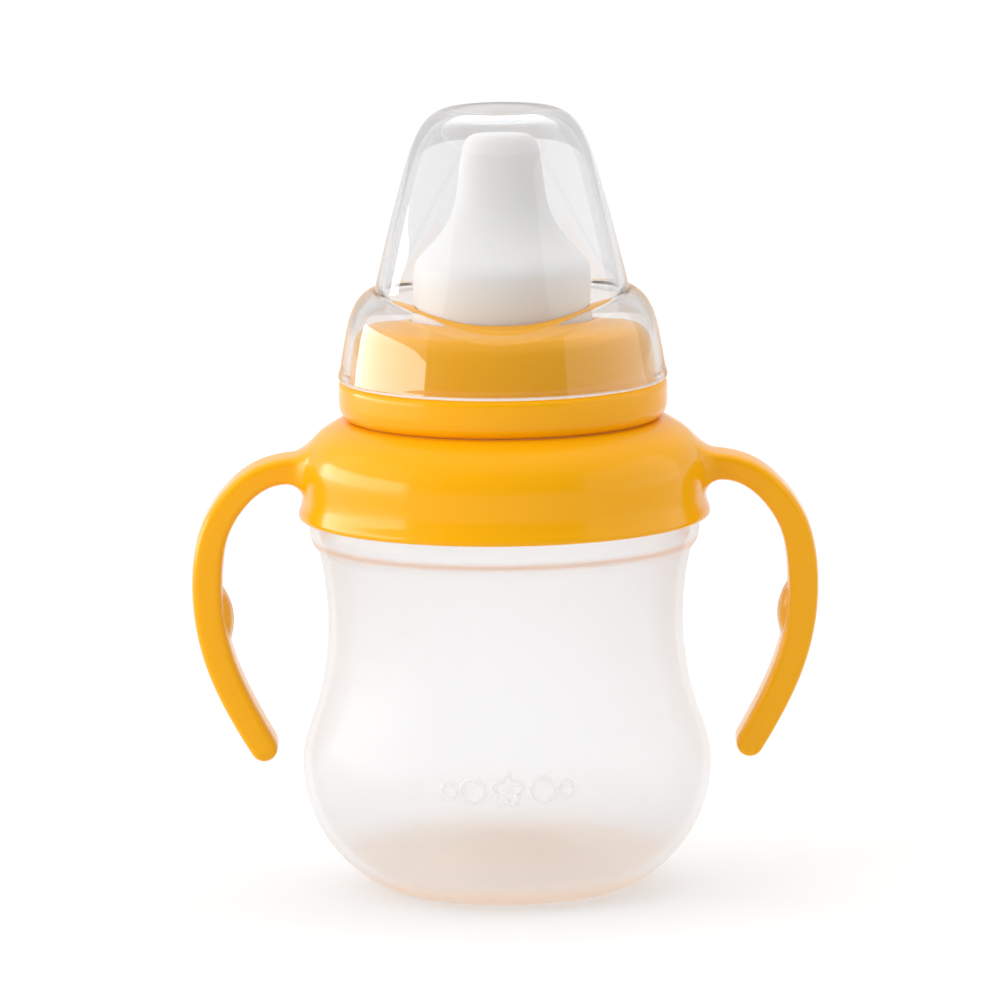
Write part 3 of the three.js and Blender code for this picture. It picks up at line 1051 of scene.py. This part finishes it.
def panel_light(name, where, aim, size, radiance):
    """A soft rectangular lamp that shows in gloss but not to the camera."""
    data = bpy.data.lights.new(name, "AREA")
    data.shape = "RECTANGLE"
    data.size, data.size_y = size
    data.energy = radiance * math.pi * size[0] * size[1]
    lamp = bpy.data.objects.new(name, data)
    lamp.location = where
    lamp.rotation_euler = (Vector(aim) - Vector(where)).to_track_quat("-Z", "Y").to_euler()
    lamp.visible_camera = False
    lamp.visible_transmission = False
    bpy.context.scene.collection.objects.link(lamp)
    return lamp


def gloss_only(lamp):
    """Leaves a lamp to show in gloss without lighting the surfaces."""
    lamp.visible_diffuse = False


class CUP_OT_studio(bpy.types.Operator):
    """Set up the plain white floor, the soft lamps and the camera"""

    bl_idname = "training_cup.studio"
    bl_label = "Studio"

    def execute(self, context):
        scene = context.scene
        scene.view_settings.view_transform = "Standard"

        bm = bmesh.new()
        signs = ((-1, -1), (1, -1), (1, 1), (-1, 1))
        corners = [bm.verts.new((x * FLOOR_REACH, y * FLOOR_REACH, 0)) for x, y in signs]
        bm.faces.new(corners)
        mesh = bpy.data.meshes.new("floor")
        bm.to_mesh(mesh)
        bm.free()
        floor = bpy.data.objects.new("floor", mesh)
        floor.data.materials.append(studio_floor())
        scene.collection.objects.link(floor)

        # The panels that show as soft windows in the gloss.
        for name, low, high, radiance in LEFT_WINDOWS:
            middle = (low + high) / 2
            size = (LEFT_WINDOW_WIDTH, high - low)
            gloss_only(panel_light(name, (LEFT_WINDOW_X, 0.01, middle), (0, 0.01, middle), size, radiance))
        gloss_only(panel_light("right_window", (0.5, -0.12, 0.275), (0, -0.12, 0.275), (0.75, 0.45), 1.0))
        # The light that models the shapes: a fill on the left, and an even sky right above.
        fill = panel_light("left_fill", (-0.9, -0.55, 0.55), (0, 0, 0.1), (0.9, 0.9), 2.0)
        fill.visible_glossy = False
        data = bpy.data.lights.new("overhead", "SUN")
        data.energy = 1.95
        data.angle = math.radians(100)
        sun = bpy.data.objects.new("overhead", data)
        sun.rotation_euler = (math.radians(-8), 0, 0)
        sun.visible_glossy = False
        scene.collection.objects.link(sun)

        world = bpy.data.worlds.new("studio")
        world.use_nodes = True
        tree = world.node_tree
        tree.nodes.clear()
        where = add_node(tree, "ShaderNodeTexCoord")
        side = add_node(tree, "ShaderNodeSeparateXYZ", links={"Vector": where.outputs["Generated"]})
        # The room is dark in front of the cup and pale grey behind it.
        wall = add_node(
            tree, "ShaderNodeMapRange",
            {"interpolation_type": "SMOOTHSTEP"},
            inputs={"From Min": -0.85, "From Max": 0.25, "To Min": 0.24, "To Max": 0.72},
            links={"Value": side.outputs["Y"]},
        )
        shade = add_node(
            tree, "ShaderNodeBackground", inputs={"Color": (1, 1, 1, 1)},
            links={"Strength": wall.outputs["Result"]},
        )
        add_node(tree, "ShaderNodeOutputWorld", links={"Surface": shade.outputs["Background"]})
        scene.world = world

        data = bpy.data.cameras.new("camera")
        data.sensor_width = 36
        data.lens = 36 * DISTANCE / FRAME_WIDTH
        data.clip_start = 0.1
        data.clip_end = 2 * FLOOR_REACH
        camera = bpy.data.objects.new("camera", data)
        camera.location = AIM + Vector((0, -math.cos(TILT), math.sin(TILT))) * DISTANCE
        camera.rotation_mode = "QUATERNION"
        aim = (AIM - camera.location).to_track_quat("-Z", "Y")
        camera.rotation_quaternion = aim @ Quaternion((0, 0, 1), -ROLL)
        scene.collection.objects.link(camera)
        scene.camera = camera
        return {"FINISHED"}


class CUP_PT_panel(bpy.types.Panel):
    """Training cup builder"""

    bl_label = "Training Cup"
    bl_idname = "CUP_PT_panel"
    bl_space_type = "VIEW_3D"
    bl_region_type = "UI"
    bl_category = "Training Cup"

    def draw(self, context):
        for group in (context.scene.cup_colours, context.scene.cup_sizes):
            for key in group.__annotations__:
                self.layout.prop(group, key)
        for operator in PIECES:
            self.layout.operator(operator.bl_idname)


PIECES = (
    CUP_OT_studio, CUP_OT_body, CUP_OT_handle_ring, CUP_OT_screw_cap, CUP_OT_gasket, CUP_OT_spout,
    CUP_OT_valve, CUP_OT_hood,
)
CLASSES = (CupColours, CupSizes, *PIECES, CUP_PT_panel)


def register():
    for cls in CLASSES:
        bpy.utils.register_class(cls)
    bpy.types.Scene.cup_colours = PointerProperty(type=CupColours)
    bpy.types.Scene.cup_sizes = PointerProperty(type=CupSizes)


def unregister():
    del bpy.types.Scene.cup_sizes
    del bpy.types.Scene.cup_colours
    for cls in reversed(CLASSES):
        bpy.utils.unregister_class(cls)


def main():
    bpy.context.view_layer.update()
    register()
    for operator in PIECES:
        name = operator.bl_idname.split(".")[1]
        getattr(bpy.ops.training_cup, name)()


if __name__ == "__main__":
    main()
